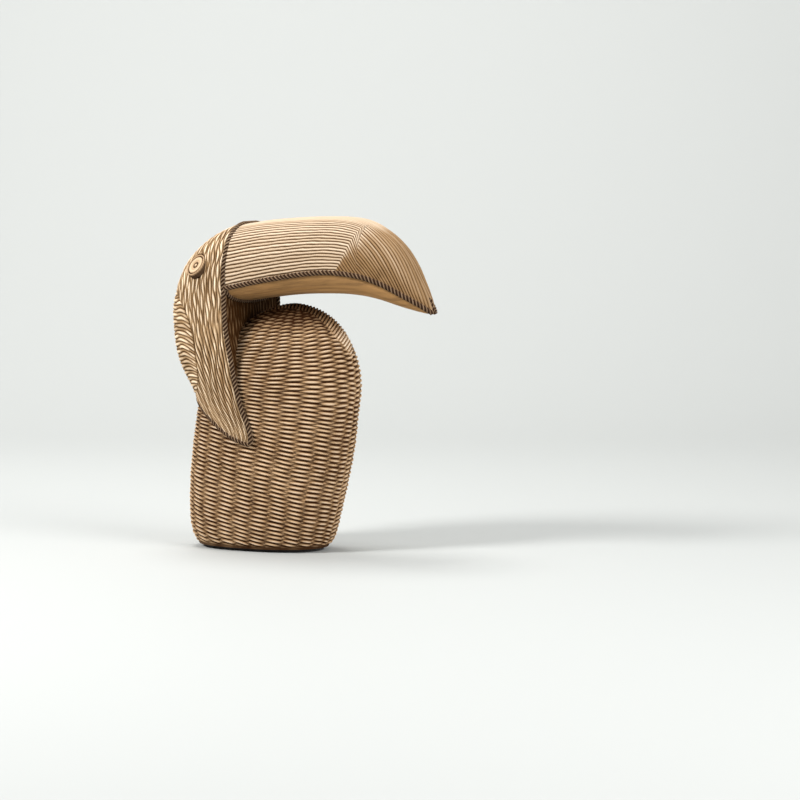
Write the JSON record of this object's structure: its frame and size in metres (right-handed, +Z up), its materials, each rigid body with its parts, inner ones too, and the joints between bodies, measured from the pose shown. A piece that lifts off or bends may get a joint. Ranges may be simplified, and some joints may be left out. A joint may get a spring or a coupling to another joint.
{
  "type": "resin bird ornament",
  "caption": "Toucan figurine cast in resin with imitation wickerwork: leaning domed body, hooded head with side flaps, long curved beak, on a thin foot pad",
  "frame": {"origin": "middle of the foot pad's underside, where the ornament stands", "axes": "+X points the way the beak points, +Y is the bird's left side, +Z is up"},
  "size_m": [0.2246, 0.091, 0.2601],
  "materials": {
    "cast_resin": "matte straw-coloured resin with a dark brown wash in the grooves, worn lighter on the strands",
    "pad_felt": "black felt, flat and matte"
  },
  "bodies": {
    "root": {"toucan_casting": "cast_resin", "foot_pad": "pad_felt"}
  },
  "joints": []
}
